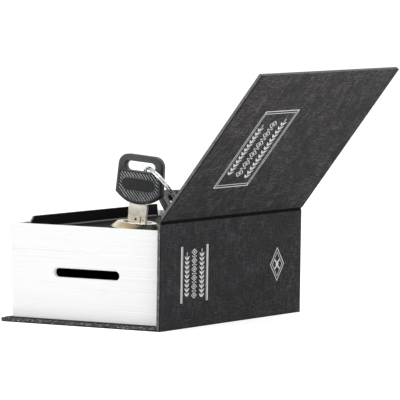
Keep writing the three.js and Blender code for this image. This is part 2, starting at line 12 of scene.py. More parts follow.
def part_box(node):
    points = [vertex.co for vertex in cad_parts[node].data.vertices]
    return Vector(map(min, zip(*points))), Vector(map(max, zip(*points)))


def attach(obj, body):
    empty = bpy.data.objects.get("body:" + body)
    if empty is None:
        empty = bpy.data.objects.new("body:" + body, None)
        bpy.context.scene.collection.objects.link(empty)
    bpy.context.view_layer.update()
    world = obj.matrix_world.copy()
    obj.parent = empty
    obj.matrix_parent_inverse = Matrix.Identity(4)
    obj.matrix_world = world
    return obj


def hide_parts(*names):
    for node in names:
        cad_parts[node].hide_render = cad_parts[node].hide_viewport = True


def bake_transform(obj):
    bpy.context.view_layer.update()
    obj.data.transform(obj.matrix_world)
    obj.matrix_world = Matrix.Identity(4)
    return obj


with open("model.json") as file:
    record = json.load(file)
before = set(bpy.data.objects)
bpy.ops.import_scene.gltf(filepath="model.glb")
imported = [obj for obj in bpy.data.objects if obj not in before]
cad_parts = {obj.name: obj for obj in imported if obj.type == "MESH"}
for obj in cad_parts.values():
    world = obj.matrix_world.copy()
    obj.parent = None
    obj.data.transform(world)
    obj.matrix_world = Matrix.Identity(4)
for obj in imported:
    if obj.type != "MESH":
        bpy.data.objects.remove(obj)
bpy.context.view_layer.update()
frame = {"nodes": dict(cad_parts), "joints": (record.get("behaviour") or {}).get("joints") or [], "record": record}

MM = 0.001


# Places that the frame gives

def corners_of(node):
    """A solid's lowest and highest corners in millimetres."""
    return [[round(v / MM, 2) for v in corner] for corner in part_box(node)]


def joint(name):
    """A joint's row in the record."""
    return next(row for row in frame["joints"] if row["name"] == name)


def joint_place(name):
    """The place of a joint's axis in millimetres."""
    return Vector([round(v / MM, 2) for v in joint(name)["pos_m"]])


# The case
HINGE = joint_place("cover_hinge")
SPINE_X = HINGE.x
BOOK_WIDTH = 2 * SPINE_X
(_, NEAR_Y, _), (_, FAR_Y, _) = corners_of("spine_wrap")
COVER_OPEN = 127  # degrees from closed
COVER_ANGLE = math.radians(COVER_OPEN)
CLOTH_REACH = 2.5
WRAP = 0.3
UPRIGHT = Vector((0, 0, 1))
SPINE_OUTWARD = Vector((1, 0, 0))
ALONG = Vector((-math.cos(COVER_ANGLE), 0, math.sin(COVER_ANGLE)))
OUTWARD = Vector((math.sin(COVER_ANGLE), 0, math.cos(COVER_ANGLE)))

# The page block
(PAGE_FORE, _, PAGE_BASE), (PAGE_SPINE, PAGE_END, RIM) = corners_of("page_block")
PAGE_WALL, PAGE_FLOOR = 2.4, 1.6
CAVITY_FORE, CAVITY_SPINE = PAGE_FORE + PAGE_WALL, PAGE_SPINE - PAGE_WALL
CAVITY_END, CAVITY_FLOOR = PAGE_END - PAGE_WALL, PAGE_BASE + PAGE_FLOOR
FORE_DRAFT, END_DRAFT = 1.3, 0.6
SLOT_LENGTH, SLOT_HEIGHT, SLOT_X, SLOT_Z = 31.5, 3.8, 1.0, 21.45

# The lid and the lock
PIVOT = joint_place("lid_hinge")
LID_TOP = 33.9
LID_AJAR = math.radians(-joint("lid_hinge")["range_deg"][0])
LIP_INNER_X, LIP_WEAR_AND_HIGHLIGHT_FROM = -29.65, 40.5
FOLD, FOLD_END = 0.5, 51.5
LOCK = Vector((-7.3, -2.3, LID_TOP))
SWING = Matrix.Translation(PIVOT) @ Matrix.Rotation(LID_AJAR, 4, "Y") @ Matrix.Translation(-PIVOT)
LOCK_FRAME = SWING @ Matrix.Translation(LOCK)
HEAD_RADIUS, HEAD_TOP_RADIUS, HEAD_HEIGHT = 11.0, 8.3, 3.0
BODY_RADIUS, BODY_FOOT, SEAT = 8.0, -15.3, 0.2
PLUG_RADIUS, PLUG_PLAY = 6.0, 0.2

# The keys, in the lock's frame
BOW_FOOT_Z = 10.8
BOW_HEIGHT, BOW_HALF, BOW_TOP_HALF, BOW_CORNER = 20.5, 11.1, 10.6, 4.5
BOW_SHOULDER, BOW_FOOT, BOW_SAG, BOW_DEPTH = 4.2, 4.8, 0.3, 3.4
HOLE_Z, HOLE_LENGTH, HOLE_HEIGHT = 15.7, 14.9, 4.0
HOLE_CENTRE = BOW_FOOT_Z + HOLE_Z
SHANK_DEPTH = 1.5

# The split ring and the spare key, in the lock's frame
RING_RADIUS, RING_TURNS, WIRE_RADIUS = 11.4, 1.9, 0.42
RING_DOWN = Vector((0.4125, 0.4753, -0.7771)).normalized()
RING_FRONT = Vector((0.7596, -0.6503, 0.0055)).normalized()
WIRE_IN_HOLE = Vector((2.86, 0, -0.2))
RING_CENTRE = Vector((0, 0, HOLE_CENTRE)) + WIRE_IN_HOLE + RING_DOWN * RING_RADIUS
SPARE_ON_RING, SPARE_YAW = math.radians(8.4), math.radians(26.5)
SPARE_PITCH, SPARE_LEAN = math.radians(1.2), math.radians(52.7)
WIRE_IN_SPARE_ACROSS, WIRE_IN_SPARE_ALONG = -0.73, -0.48


# Camera, with the view of the photograph

AZIMUTH, ELEVATION, ROLL = (math.radians(a) for a in (30.1, 3.76, 0.84))
CAMERA_DISTANCE, TARGET_RIGHT, TARGET_UP = 1927.7, 19.155, 49.53
FOCAL_PIXELS, FRAME_PIXELS, SENSOR = 4575, 400, 36.0


def make_camera():
    level = Vector((math.cos(AZIMUTH), math.sin(AZIMUTH), 0))
    back = Vector((
        math.sin(AZIMUTH) * math.cos(ELEVATION),
        -math.cos(AZIMUTH) * math.cos(ELEVATION),
        math.sin(ELEVATION),
    ))
    upright = back.cross(level)
    right = level * math.cos(ROLL) + upright * math.sin(ROLL)
    up = upright * math.cos(ROLL) - level * math.sin(ROLL)
    target = level * TARGET_RIGHT + Vector((0, 0, TARGET_UP))
    place = (target + back * CAMERA_DISTANCE) * MM
    camera = bpy.data.objects.new("camera", bpy.data.cameras.new("camera"))
    camera.data.sensor_width = SENSOR
    camera.data.lens = FOCAL_PIXELS / FRAME_PIXELS * SENSOR
    camera.data.clip_start = 0.05
    camera.data.clip_end = 60
    turn = Matrix((right, up, back)).transposed().to_4x4()
    camera.matrix_world = Matrix.Translation(place) @ turn
    bpy.context.scene.collection.objects.link(camera)
    bpy.context.scene.camera = camera


make_camera()


# Node materials

class Graph:
    """A material's node tree with one principled shader."""

    def __init__(self, name, **values):
        self.material = bpy.data.materials.new(name)
        self.material.use_nodes = True
        self.tree = self.material.node_tree
        self.shader = self.tree.nodes["Principled BSDF"]
        for key, value in values.items():
            self.shader.inputs[key.replace("_", " ")].default_value = value

    def add(self, kind, settings=(), **inputs):
        node = self.tree.nodes.new("ShaderNode" + kind)
        for key, value in dict(settings).items():
            setattr(node, key, value)
        for key, value in inputs.items():
            self.feed(node.inputs[key.replace("_", " ")], value)
        return node

    def feed(self, socket, value):
        if isinstance(value, bpy.types.NodeSocket):
            self.tree.links.new(value, socket)
        else:
            socket.default_value = value

    def place(self, scale, turn=0.0):
        """Object coordinates in millimetres, turned about Y and scaled evenly or by axis."""
        vector = self.add("TexCoord").outputs["Object"]
        turned = self.add("Mapping", Vector=vector, Rotation=(0, turn, 0))
        by_axis = scale if isinstance(scale, tuple) else (scale,) * 3
        per_mm = tuple(s / MM for s in by_axis)
        return self.add("Mapping", Vector=turned.outputs[0], Scale=per_mm).outputs[0]

    def metres(self, axis, turn=0.0):
        """One object coordinate in metres: 0 for X, 1 for Y, 2 for Z."""
        return self.add("SeparateXYZ", Vector=self.place(MM, turn)).outputs[axis]

    def noise(self, vector, detail, roughness=0.55, distortion=0.0):
        node = self.add(
            "TexNoise", Vector=vector, Scale=1.0, Detail=detail, Roughness=roughness,
            Distortion=distortion,
        )
        return node.outputs["Fac"]

    def ramp(self, value, *stops):
        node = self.add("ValToRGB", Fac=value)
        elements = node.color_ramp.elements
        while len(elements) < len(stops):
            elements.new(0.5)
        for element, (at, shade) in zip(elements, stops):
            element.position = at
            element.color = (*shade, 1) if isinstance(shade, tuple) else (shade,) * 3 + (1,)
        return node.outputs["Color"]

    def maths(self, operation, a, b):
        node = self.add("Math", {"operation": operation})
        self.feed(node.inputs[0], a)
        self.feed(node.inputs[1], b)
        return node.outputs[0]

    def blend(self, factor, a, b):
        node = self.add("Mix", {"data_type": "RGBA"})
        self.feed(node.inputs["Factor"], factor)
        for socket, value in ((node.inputs[6], a), (node.inputs[7], b)):
            self.feed(socket, (*value, 1) if isinstance(value, tuple) else value)
        return node.outputs[2]

    def bump(self, height, depth, strength):
        """A bump as deep as depth, in millimetres."""
        return self.add("Bump", Height=height, Strength=strength, Distance=depth * MM).outputs[0]

    def finish(self, colour, roughness, normal):
        for key, value in (("Base Color", colour), ("Roughness", roughness), ("Normal", normal)):
            if value is not None:
                self.feed(self.shader.inputs[key], value)
        return self.material


def leatherette(name, turn, dark, light, painted_sheen=None):
    """Printed paper with short crossing strokes. It may be painted lighter by a share from one place to another,
    as a painted sheen.
    """
    g = Graph(name, Specular_IOR_Level=0.1)
    narrow, long, deep = 3.4, 0.26, 0.7
    across = g.noise(g.place((narrow, long, deep), turn), 4, 0.6, 0.7)
    along = g.noise(g.place((long, narrow, deep), turn), 4, 0.6, 0.7)
    strokes = g.maths(
        "MAXIMUM",
        g.ramp(across, (0.53, 0.0), (0.66, 1.0)),
        g.ramp(along, (0.53, 0.0), (0.66, 1.0)),
    )
    patch = g.ramp(g.noise(g.place(0.11, turn), 3, 0.6), (0.36, 0.3), (0.62, 1.0))
    grain = g.noise(g.place(4), 2)
    shade = g.maths("ADD", g.maths("MULTIPLY", strokes, patch), g.maths("MULTIPLY", grain, 0.35))
    colour = g.ramp(shade, (0.1, dark), (1.0, light))
    # Painted sheen: the colour is made lighter by a share along X, from one place to another.
    if painted_sheen is not None:
        start, end, share = painted_sheen
        sheen_gain = g.add(
            "MapRange", Value=g.metres(0, turn), From_Min=start * MM, From_Max=end * MM,
            To_Min=1.0, To_Max=1.0 + share,
        ).outputs[0]
        scale = g.add("VectorMath", {"operation": "SCALE"})
        g.feed(scale.inputs[0], colour)
        g.feed(scale.inputs["Scale"], sheen_gain)
        colour = scale.outputs[0]
    rough = g.ramp(shade, (0.2, 0.74), (1.0, 0.55))
    return g.finish(colour, rough, g.bump(shade, 0.05, 0.6))


def edge_board(name, turn, dark, light, fleck):
    """The trimmed edge of paper-covered board: streaked along its length, with worn flecks."""
    g = Graph(name, Specular_IOR_Level=0.2)
    streak = g.noise(g.place((0.35, 1.0, 3.2), turn), 5, 0.65)
    fine = g.noise(g.place((0.9, 2.4, 4.5), turn), 4, 0.62)
    base = g.ramp(streak, (0.36, dark), (0.62, light))
    colour = g.blend(g.ramp(fine, (0.57, 0.0), (0.68, 1.0)), base, fleck)
    return g.finish(colour, 0.75, g.bump(fine, 0.12, 0.8))


def matt_paper(name, colour, light, specular=0.25):
    g = Graph(name, Roughness=0.8, Specular_IOR_Level=specular)
    fibre = g.noise(g.place(1.2), 6, 0.65)
    return g.finish(g.ramp(fibre, (0.3, colour), (0.75, light)), None, g.bump(fibre, 0.04, 0.6))


def enamel(name, dark, light, specular):
    g = Graph(name, Specular_IOR_Level=specular)
    peel = g.noise(g.place(1.6), 3)
    dust = g.noise(g.place(6), 2)
    colour = g.ramp(dust, (0.45, dark), (0.8, light))
    rough = g.ramp(peel, (0.3, 0.34), (0.75, 0.5))
    return g.finish(colour, rough, g.bump(peel, 0.06, 0.6))


def moulded_pages():
    g = Graph("moulded_pages", Specular_IOR_Level=0.35)
    lines = g.noise(g.place((0.02, 0.02, 2.6)), 4, 0.55)
    cloud = g.noise(g.place(0.05), 2)
    sheet = g.ramp(lines, (0.33, 0.84), (0.45, 0.905))
    colour = g.blend(g.maths("MULTIPLY", cloud, 0.25), sheet, (0.93, 0.928, 0.92))
    fine = g.noise(g.place(4), 2)
    return g.finish(colour, g.ramp(fine, (0.3, 0.42), (0.7, 0.52)), g.bump(lines, 0.03, 0.5))


FOOT_PAINTED_SHADE, FOOT_PAINTED_SHADE_COLOUR = 0.75, (0.004, 0.004, 0.0045)


def bow_plastic(name, dark, light, specular=0.5, foot=None):
    """Moulded plastic. Below its foot, a height in millimetres, it is painted darker, as painted shade."""
    g = Graph(name, Specular_IOR_Level=specular)
    grain = g.noise(g.place(7), 3, 0.6)
    cloud = g.noise(g.place(0.3), 2)
    colour = g.ramp(cloud, (0.3, dark), (0.7, light))
    # Painted shade: darker towards the bottom, below the foot height.
    if foot is not None:
        share = g.add(
            "MapRange", Value=g.metres(2), From_Min=0.0, From_Max=foot * MM,
            To_Min=FOOT_PAINTED_SHADE, To_Max=0.0,
        ).outputs[0]
        colour = g.blend(share, colour, FOOT_PAINTED_SHADE_COLOUR)
    rough = g.ramp(grain, (0.3, 0.34), (0.7, 0.5))
    return g.finish(colour, rough, g.bump(grain, 0.03, 0.5))


def metal(name, dark, light, smooth, dull, scratch=(0.4, 0.4, 7.0), depth=0.01):
    """A plated metal with faint drawn lines and a little tarnish."""
    g = Graph(name, Metallic=1.0)
    lines = g.noise(g.place(scratch), 4, 0.6)
    stain = g.noise(g.place(0.25), 4, 0.6)
    colour = g.ramp(stain, (0.32, dark), (0.62, light))
    rough = g.ramp(lines, (0.3, smooth), (0.7, dull))
    return g.finish(colour, rough, g.bump(lines, depth, 0.5))


def painted_reflection_slope():
    """The lock head's turned slope with a painted reflection and painted shade: pale on the side of the key's
    edge, brown and then dark round it.
    """
    g = Graph("lock_slope_painted_reflection", Metallic=0.8)
    reach = 9 * MM
    share = g.add("MapRange", Value=g.metres(0), From_Min=-reach, From_Max=reach).outputs[0]
    stain = g.noise(g.place((0.5, 0.5, 0.9)), 4, 0.6)
    place = g.maths("ADD", share, g.maths("MULTIPLY", g.maths("SUBTRACT", stain, 0.5), 0.3))
    colour = g.ramp(
        place, (0.16, (0.78, 0.74, 0.62)), (0.36, (0.50, 0.42, 0.26)),
        (0.66, (0.30, 0.24, 0.14)), (0.82, (0.03, 0.027, 0.02)),
    )
    lines = g.noise(g.place((0.8, 0.8, 5.0)), 3, 0.6)
    return g.finish(colour, g.ramp(lines, (0.3, 0.3), (0.7, 0.42)), g.bump(lines, 0.004, 0.5))


def silver_foil():
    g = Graph("silver_foil", Metallic=0.35, Specular_IOR_Level=0.6)
    rub = g.noise(g.place(2.4), 4, 0.65)
    colour = g.ramp(rub, (0.28, (0.34, 0.34, 0.35)), (0.45, (0.72, 0.72, 0.73)))
    return g.finish(colour, g.ramp(rub, (0.3, 0.5), (0.7, 0.3)), g.bump(rub, 0.02, 0.5))


COVER_TURN = math.radians(180 - COVER_OPEN)
SPINE_TURN = math.pi / 2
COVER_FOOT = HINGE.dot(ALONG)
# The cover paper is painted lighter across its width by this share, as painted sheen.
COVER_PAINTED_SHEEN = 0.75
COVER_PAPER = leatherette(
    "cover_paper", COVER_TURN, (0.0105, 0.0098, 0.0098), (0.080, 0.075, 0.074),
    (COVER_FOOT, COVER_FOOT + BOOK_WIDTH, COVER_PAINTED_SHEEN),
)
SPINE_PAPER = leatherette("spine_paper", SPINE_TURN, (0.018, 0.0172, 0.0188), (0.072, 0.069, 0.075))
BACK_PAPER = leatherette("back_paper", 0.0, (0.022, 0.021, 0.022), (0.08, 0.077, 0.08))
# Near-black paper: painted shade in the hinge crease, and the dark line of the wraps' turned-in fold on their cut
# ends.
DARK_FOLD_AND_SHADE = matt_paper("dark_fold_and_painted_shade", (0.0015, 0.0015, 0.0016), (0.005, 0.005, 0.0053), 0.05)
COVER_EDGE = edge_board(
    "cover_edge", COVER_TURN, (0.07, 0.07, 0.068), (0.17, 0.17, 0.163), (0.36, 0.36, 0.35),
)
SPINE_EDGE = edge_board(
    "spine_edge", SPINE_TURN, (0.04, 0.04, 0.039), (0.13, 0.13, 0.125), (0.6, 0.6, 0.58),
)
# The back board's edge is a darker copy of the board edge, as painted shade.
BACK_EDGE_SHADED = edge_board(
    "back_edge_painted_shade", 0.0, (0.008, 0.008, 0.0075), (0.075, 0.075, 0.072), (0.66, 0.66, 0.64),
)
RUBBED_EDGE = matt_paper("rubbed_edge", (0.05, 0.05, 0.05), (0.30, 0.30, 0.29))
LINING = matt_paper("lining_paper", (0.012, 0.012, 0.0125), (0.026, 0.026, 0.027))
ENAMEL = enamel("black_enamel", (0.012, 0.0118, 0.012), (0.021, 0.0205, 0.021), 0.015)
# Lighter enamel for rounded edges: partly wear, partly painted highlight.
ENAMEL_EDGE_WEAR_AND_HIGHLIGHT = enamel("enamel_edge_wear_and_painted_highlight", (0.06, 0.06, 0.058), (0.30, 0.30, 0.29), 0.6)
PAGES = moulded_pages()
BOW = bow_plastic("bow_plastic", (0.042, 0.045, 0.047), (0.060, 0.064, 0.067), 0.4, 6.5)
BOW_PANEL = bow_plastic("bow_panel", (0.012, 0.0125, 0.013), (0.022, 0.023, 0.024), 0.25)
# Near-black plastic: painted shade in the sunk field and in the marks on the shank.
BOW_GROOVE_SHADE = bow_plastic("bow_groove_painted_shade", (0.0005, 0.0005, 0.0006), (0.001, 0.001, 0.0012), 0.02)
# Light plastic for the rib tops and rim dots: painted highlight.
BOW_RIB_HIGHLIGHT = bow_plastic("bow_rib", (0.28, 0.29, 0.30), (0.55, 0.57, 0.58), 0.4)
ZINC = metal("zinc_plate", (0.42, 0.42, 0.40), (0.62, 0.62, 0.60), 0.24, 0.38)
LOCK_METAL = metal(
    "lock_metal", (0.50, 0.43, 0.31), (0.90, 0.88, 0.82), 0.14, 0.24, (0.8, 0.8, 5.0), 0.006,
)
LOCK_SLOPE_REFLECTION = painted_reflection_slope()
PLUG = metal("plug_metal", (0.12, 0.11, 0.09), (0.34, 0.31, 0.25), 0.2, 0.34, (0.8, 0.8, 5.0))
BRASS = metal("brass", (0.50, 0.33, 0.12), (0.66, 0.47, 0.20), 0.25, 0.4)
NICKEL = metal(
    "nickel_plate", (0.84, 0.79, 0.66), (1.0, 0.97, 0.89), 0.26, 0.42, (2.2, 2.2, 2.6), 0.12,
)
RING_STEEL = metal("ring_steel", (0.55, 0.56, 0.56), (0.74, 0.75, 0.75), 0.12, 0.24)
FOIL = silver_foil()


# Building pieces

def link(name, mesh, *materials):
    obj = bpy.data.objects.new(name, mesh)
    for material in materials:
        mesh.materials.append(material)
    bpy.context.scene.collection.objects.link(obj)
    return obj


def mesh_of(name, bm):
    mesh = bpy.data.meshes.new(name)
    bmesh.ops.recalc_face_normals(bm, faces=bm.faces)
    if bm.calc_volume(signed=True) < 0:
        bmesh.ops.reverse_faces(bm, faces=bm.faces)
    bm.to_mesh(mesh)
    bm.free()
    return mesh


def smooth(obj, angle=35):
    obj.data.shade_smooth()
    obj.data.set_sharp_from_angle(angle=math.radians(angle))


def bevel(obj, width, segments, angle=30):
    """Rounds the sharp edges by width, in millimetres."""
    modifier = obj.modifiers.new("rounded", "BEVEL")
    modifier.width = width * MM
    modifier.segments = segments
    modifier.limit_method = "ANGLE"
    modifier.angle_limit = math.radians(angle)
    modifier.harden_normals = True
    modifier.use_clamp_overlap = True


def apply_modifiers(obj):
    bpy.context.view_layer.update()
    graph = bpy.context.evaluated_depsgraph_get()
    mesh = bpy.data.meshes.new_from_object(obj.evaluated_get(graph))
    obj.modifiers.clear()
    obj.data = mesh


def join(bm, rings):
    """Makes the faces between each closed ring of points and the next."""
    for low, high in zip(rings, rings[1:]):
        for k in range(len(low)):
            after = (k + 1) % len(low)
            bm.faces.new((low[k], low[after], high[after], high[k]))


def skin(bm, rings):
    """Joins closed rings of points, and closes the first and the last."""
    join(bm, rings)
    bm.faces.new(rings[0])
    bm.faces.new(rings[-1])


def refined(node, material, width, segments=2, edges=None, ends=None):
    """
    A copy of a solid with its flat faces whole and its edges rounded, which stands for it.
    Its rounded edges, and its faces at the two ends along Y, may have a finish of their own.
    """
    name = node + "_finished"
    bm = bmesh.new()
    bm.from_mesh(frame["nodes"][node].data)
    bmesh.ops.remove_doubles(bm, verts=bm.verts, dist=1e-7)
    bmesh.ops.dissolve_limit(
        bm, angle_limit=math.radians(0.6), verts=bm.verts, edges=bm.edges,
    )
    for face in bm.faces:
        face.material_index = 2 if ends and abs(face.normal.y) > 0.9 else 0
    obj = link(name, mesh_of(name, bm), material, edges or material, ends or material)
    smooth(obj)
    bevel(obj, width, segments)
    if edges:
        obj.modifiers["rounded"].material = 1
    return stands_for(obj, node)


def dress(node, material):
    """Puts a material on a solid that stays as it is."""
    obj = frame["nodes"][node]
    obj.data.materials.clear()
    obj.data.materials.append(material)


def body_of(node):
    bodies = frame["record"]["behaviour"]["bodies"]
    return next(body for body, nodes in bodies.items() if node in nodes)


def turned(name, profile, material, place, sides=96):
    """A closed profile of radius and height turned about the place's Z."""
    bm = bmesh.new()
    rings = []
    angles = [2 * math.pi * k / sides for k in range(sides)]
    for radius, height in profile:
        rings.append([
            bm.verts.new((radius * MM * math.cos(a), radius * MM * math.sin(a), height * MM))
            for a in angles
        ])
    join(bm, [*rings, rings[0]])
    obj = link(name, mesh_of(name, bm), material)
    smooth(obj, 40)
    obj.matrix_world = scaled(place)
    return obj


def scaled(place):
    """A place written in millimetres, as a matrix in metres."""
    metres = place.copy()
    metres.translation = place.translation * MM
    return metres


def stands_for(obj, node):
    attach(obj, body_of(node))
    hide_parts(node)
    return obj


def prism(outline, low, high, holes=()):
    """A closed outline in X and Z, in millimetres, drawn out along Y."""
    bm = bmesh.new()
    loops = [outline, *holes]
    for y in (low, high):
        edges = []
        for loop in loops:
            verts = [bm.verts.new((x * MM, y * MM, z * MM)) for x, z in loop]
            edges += [bm.edges.new(pair) for pair in zip(verts, verts[1:] + verts[:1])]
        bmesh.ops.triangle_fill(bm, edges=edges, use_beauty=True)
    bm.verts.ensure_lookup_table()
    count = sum(len(loop) for loop in loops)
    start = 0
    for loop in loops:
        n = len(loop)
        for k in range(n):
            a, b = start + k, start + (k + 1) % n
            bm.faces.new([bm.verts[i] for i in (a, b, b + count, a + count)])
        start += n
    bmesh.ops.dissolve_limit(bm, angle_limit=math.radians(1), verts=bm.verts, edges=bm.edges)
    return bm


def bar(bm, corners, normal, low, high, finish=0):
    """A flat closed slab on four or more corners, between two heights along the normal."""
    bottom = [bm.verts.new((c + normal * low) * MM) for c in corners]
    top = [bm.verts.new((c + normal * high) * MM) for c in corners]
    faces = [bm.faces.new(bottom), bm.faces.new(top[::-1])]
    for k in range(len(corners)):
        after = (k + 1) % len(corners)
        faces.append(bm.faces.new((bottom[k], bottom[after], top[after], top[k])))
    for face in faces:
        face.material_index = finish


def carve(obj, *tools):
    """Cuts the tools' shapes out of a piece. The tools then go."""
    for tool in tools:
        modifier = obj.modifiers.new("carve", "BOOLEAN")
        modifier.operation = "DIFFERENCE"
        modifier.solver = "EXACT"
        modifier.object = tool
    apply_modifiers(obj)
    for tool in tools:
        bpy.data.objects.remove(tool)


def arc(x, z, radius, start, end, steps=12):
    """Points round a centre, between two angles in degrees."""
    angles = [math.radians(start + (end - start) * k / steps) for k in range(steps + 1)]
    return [(x + radius * math.cos(a), z + radius * math.sin(a)) for a in angles]


def disc(x, z, radius, sides):
    return arc(x, z, radius, 0, 360 - 360 / sides, sides - 1)


def stadium(x, z, length, height, steps=12):
    """A slot's outline with round ends."""
    r = height / 2
    return (
        arc(x + length / 2 - r, z, r, -90, 90, steps)
        + arc(x - length / 2 + r, z, r, 90, 270, steps)
    )


# The case

for node, material, width, edges, ends in (
    ("front_board", COVER_EDGE, 0.2, RUBBED_EDGE, None),
    ("front_wrap", COVER_PAPER, 0.03, None, DARK_FOLD_AND_SHADE),
    ("front_lining", LINING, 0.06, None, None),
    ("spine_board", SPINE_EDGE, 0.2, RUBBED_EDGE, None),
    ("spine_wrap", SPINE_PAPER, 0.03, None, DARK_FOLD_AND_SHADE),
    ("back_board", BACK_EDGE_SHADED, 0.2, BACK_EDGE_SHADED, None),
    ("back_wrap", BACK_PAPER, 0.12, None, None),
    ("back_lining", LINING, 0.06, None, None),
):
    refined(node, material, width, edges=edges, ends=ends)


def joint_cloth():
    """The paper over the hinge, with a crease pressed in along the bend and painted shade in it."""
    reach = CLOTH_REACH
    foot, tip = HINGE - UPRIGHT * reach, HINGE + ALONG * reach
    crease, depth, bend, blend_reach = 0.8, 0.26, 0.35, 1.6
    side_stations = (0.2, 0.5, crease, 1.4, reach)
    stations = (*(-at for at in reversed(side_stations)), 0, *side_stations)
    bm = bmesh.new()
    ends = []
    middle_out = (SPINE_OUTWARD + OUTWARD).normalized()
    for y in (NEAR_Y, FAR_Y):
        outer, inner = [], []
        for at in stations:
            way = ALONG if at > 0 else UPRIGHT
            point = HINGE + way * at
            turn = min(1.0, abs(at) / bend)
            side = OUTWARD if at > 0 else SPINE_OUTWARD
            out = middle_out.lerp(side, turn).normalized()
            pressed = depth * max(0.0, 1 - (at / crease) ** 2)
            place = Vector((0, y, 0))
            outer.append(bm.verts.new((point + place - out * pressed) * MM))
            inner.append(bm.verts.new((point + place - out * WRAP) * MM))
        ends.append(outer + inner[::-1])
        bm.faces.new(ends[-1])
    near, far = ends
    for k in range(len(near)):
        after = (k + 1) % len(near)
        face = bm.faces.new((near[k], near[after], far[after], far[k]))
        if k < len(stations) - 1:
            middle = (stations[k] + stations[k + 1]) / 2
            # Faces near the crease take the near-black paper, as painted shade.
            face.material_index = 1 if abs(middle) < crease else (2 if middle > 0 else 0)
    mesh = mesh_of("joint_cloth_bend", bm)
    obj = link("joint_cloth_bend", mesh, SPINE_PAPER, DARK_FOLD_AND_SHADE, COVER_PAPER)
    smooth(obj, 30)
    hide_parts("joint_cloth")
    middle = (foot + HINGE * 2 + tip) / 4
    way = (tip - foot).normalized()
    start, end = ((middle + way * side * blend_reach) * MM for side in (-1, 1))
    tuple(start)
    tuple(end)
    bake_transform(obj)


joint_cloth()


# The page block

PAGE_CORNER = 0.5
PAGE_STEPS = (36, 60)
RIM_ROUNDING = 0.22
DEEP_GROOVES = {7.2: 0.16, 15.0: 0.22, 21.2: 0.12, 25.2: 0.2, 30.3: 0.26, 34.6: 0.1, 38.2: 0.14}


def page_loop(bm, x0, x1, y, z, inset=None):
    """A rounded rectangle at one height. Its points may be drawn in by inset, given each place."""
    corner = PAGE_CORNER
    points = []
    for cx, cy, start in (
        (x1 - corner, y - corner, 0), (x0 + corner, y - corner, 90),
        (x0 + corner, -y + corner, 180), (x1 - corner, -y + corner, 270),
    ):
        points += [Vector((px, py, z)) for px, py in arc(cx, cy, corner, start, start + 90, 3)]
    loop = []
    for side in range(4):
        quarter = points[side * 4:side * 4 + 4]
        loop += quarter
        after = points[(side * 4 + 4) % 16]
        n = PAGE_STEPS[side % 2]
        loop += [quarter[3].lerp(after, k / n) for k in range(1, n)]
    verts = []
    for place in loop:
        if inset is not None:
            depth = inset(place)
            edge_x = min(place.x - x0, x1 - place.x)
            edge_y = y - abs(place.y)
            if edge_x < corner:
                place.x += math.copysign(depth, (x0 + x1) / 2 - place.x)
            if edge_y < corner:
                place.y += math.copysign(depth, -place.y)
        verts.append(bm.verts.new(place * MM))
    return verts


def page_heights():
    """Heights up the moulding and how deep the groove is at each, in millimetres."""
    seed = random.Random(7)
    fine_half, deep_half, least_pitch, spread = 0.16, 0.2, 0.42, 0.35
    plain_foot, plain_top, before_deep, after_deep = 0.5, 0.7, 0.6, 0.35
    z = PAGE_BASE + plain_foot
    heights = []
    while z < RIM - plain_top:
        at = min((height for height in DEEP_GROOVES if height > z), default=RIM)
        if z + before_deep > at:
            heights += [(at - deep_half, 0.0), (at, DEEP_GROOVES[at]), (at + deep_half, 0.0)]
            z = at + after_deep
            continue
        depth = seed.choice((0.01, 0.02, 0.03, 0.06))
        heights += [(z, 0.0), (z + fine_half, depth), (z + 2 * fine_half, 0.005)]
        z += least_pitch + seed.random() * spread
    return heights


def page_walls(z):
    """The moulding's fore side, spine side and ends at a height, with its draft."""
    down = (RIM - z) / (RIM - PAGE_BASE)
    return PAGE_FORE + FORE_DRAFT * down, PAGE_SPINE, PAGE_END - END_DRAFT * down


def wavy(z, depth):
    """A groove that deepens and fades along its way round the block."""
    def inset(place):
        wander = noise.noise(Vector((place.x * 0.045, place.y * 0.045, z * 1.7)))
        return depth * max(0.0, min(1.0, 0.62 + 1.1 * wander))
    return inset


def rim_step(turn):
    """How far the rounded rim has dropped and drawn in, at an angle in degrees."""
    a = math.radians(turn)
    return RIM_ROUNDING * (1 - math.sin(a)), RIM_ROUNDING * (1 - math.cos(a))


def slot_tool():
    """The coin slot, with a rounded mouth."""
    mouth = -page_walls(SLOT_Z)[2]
    profile = (
        (mouth - 1.0, 1.3), (mouth - 0.05, 0.35), (mouth + 0.12, 0.12), (mouth + 0.35, 0.0),
        (-CAVITY_END + 1.0, 0.0),
    )
    bm = bmesh.new()
    rings = []
    for y, grown in profile:
        outline = stadium(SLOT_X, SLOT_Z, SLOT_LENGTH + 2 * grown, SLOT_HEIGHT + 2 * grown)
        rings.append([bm.verts.new((x * MM, y * MM, z * MM)) for x, z in outline])
    skin(bm, rings)
    return link("slot_tool", mesh_of("slot_tool", bm))


def page_block():
    bm = bmesh.new()
    loops = [page_loop(bm, *page_walls(PAGE_BASE), PAGE_BASE)]
    for z, depth in page_heights():
        loops.append(page_loop(bm, *page_walls(z), z, wavy(z, depth)))
    under_rim = RIM - RIM_ROUNDING
    loops.append(page_loop(bm, *page_walls(under_rim), under_rim))
    x0, x1, y = page_walls(RIM)
    for turn in (30, 60, 90):
        drop, pull = rim_step(turn)
        loops.append(page_loop(bm, x0 + pull, x1 - pull, y - pull, RIM - drop))
    x0, x1, y = CAVITY_FORE, CAVITY_SPINE, CAVITY_END
    for turn in (0, 45, 90):
        pull, drop = rim_step(turn)
        loops.append(page_loop(bm, x0 - pull, x1 + pull, y + pull, RIM - drop))
    loops.append(page_loop(bm, x0, x1, y, CAVITY_FLOOR))
    skin(bm, loops)
    obj = link("pages_moulded", mesh_of("pages_moulded", bm), PAGES)
    carve(obj, slot_tool())
    smooth(obj, 42)
    stands_for(obj, "page_block")


page_block()


# The steel box, the hinge and the lid

